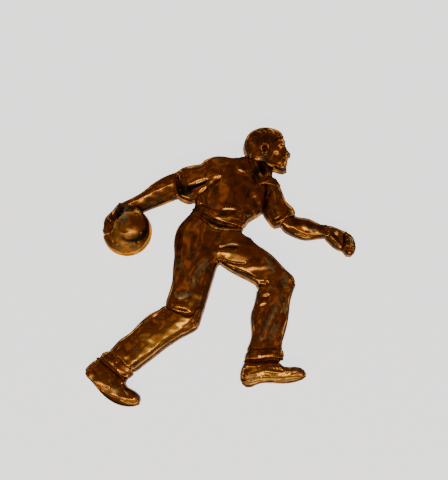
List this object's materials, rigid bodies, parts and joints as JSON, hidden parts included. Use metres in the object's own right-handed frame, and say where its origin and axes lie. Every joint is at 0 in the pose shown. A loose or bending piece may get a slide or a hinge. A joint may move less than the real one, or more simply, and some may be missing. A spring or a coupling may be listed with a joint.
{
  "type": "bowling trophy figure",
  "caption": "Flat-backed cast relief figure of a bowler in mid delivery, screwed to a trophy plaque or base by its cored back.",
  "frame": {"origin": "middle of the figure's bounding box, on the flat back that meets the plaque", "axes": "+Z out of the back towards the relief side, +Y towards the head, +X the way the bowler faces"},
  "size_m": [0.113, 0.118, 0.0112],
  "materials": {
    "bronze_plate": "copper-bronze plate, glossy, rubbed through to grey on the high creases",
    "dark_bronze": "copper-bronze plate under dark brown patina",
    "bright_bronze": "copper-bronze plate, polished"
  },
  "bodies": {
    "root": {"balance_fingers": "bronze_plate", "balance_forearm": "bronze_plate", "balance_hand": "bronze_plate", "balance_sleeve": "bronze_plate", "ball_hand": "bronze_plate", "belt": "dark_bronze", "bowling_ball": "bright_bronze", "far_collar": "bronze_plate", "front_cuff": "bronze_plate", "front_shin": "bronze_plate", "front_shoe": "bronze_plate", "front_sock": "dark_bronze", "front_sole": "bright_bronze", "front_thigh": "bronze_plate", "hair": "bronze_plate", "head": "bronze_plate", "near_collar": "bronze_plate", "neck": "dark_bronze", "rear_cuff": "bronze_plate", "rear_shin": "bronze_plate", "rear_shoe": "bronze_plate", "rear_sock": "dark_bronze", "rear_sole": "bright_bronze", "rear_thigh": "bronze_plate", "shirt": "bronze_plate", "shirt_far_front": "bronze_plate", "throwing_forearm": "bronze_plate", "throwing_sleeve": "bronze_plate"}
  },
  "joints": []
}
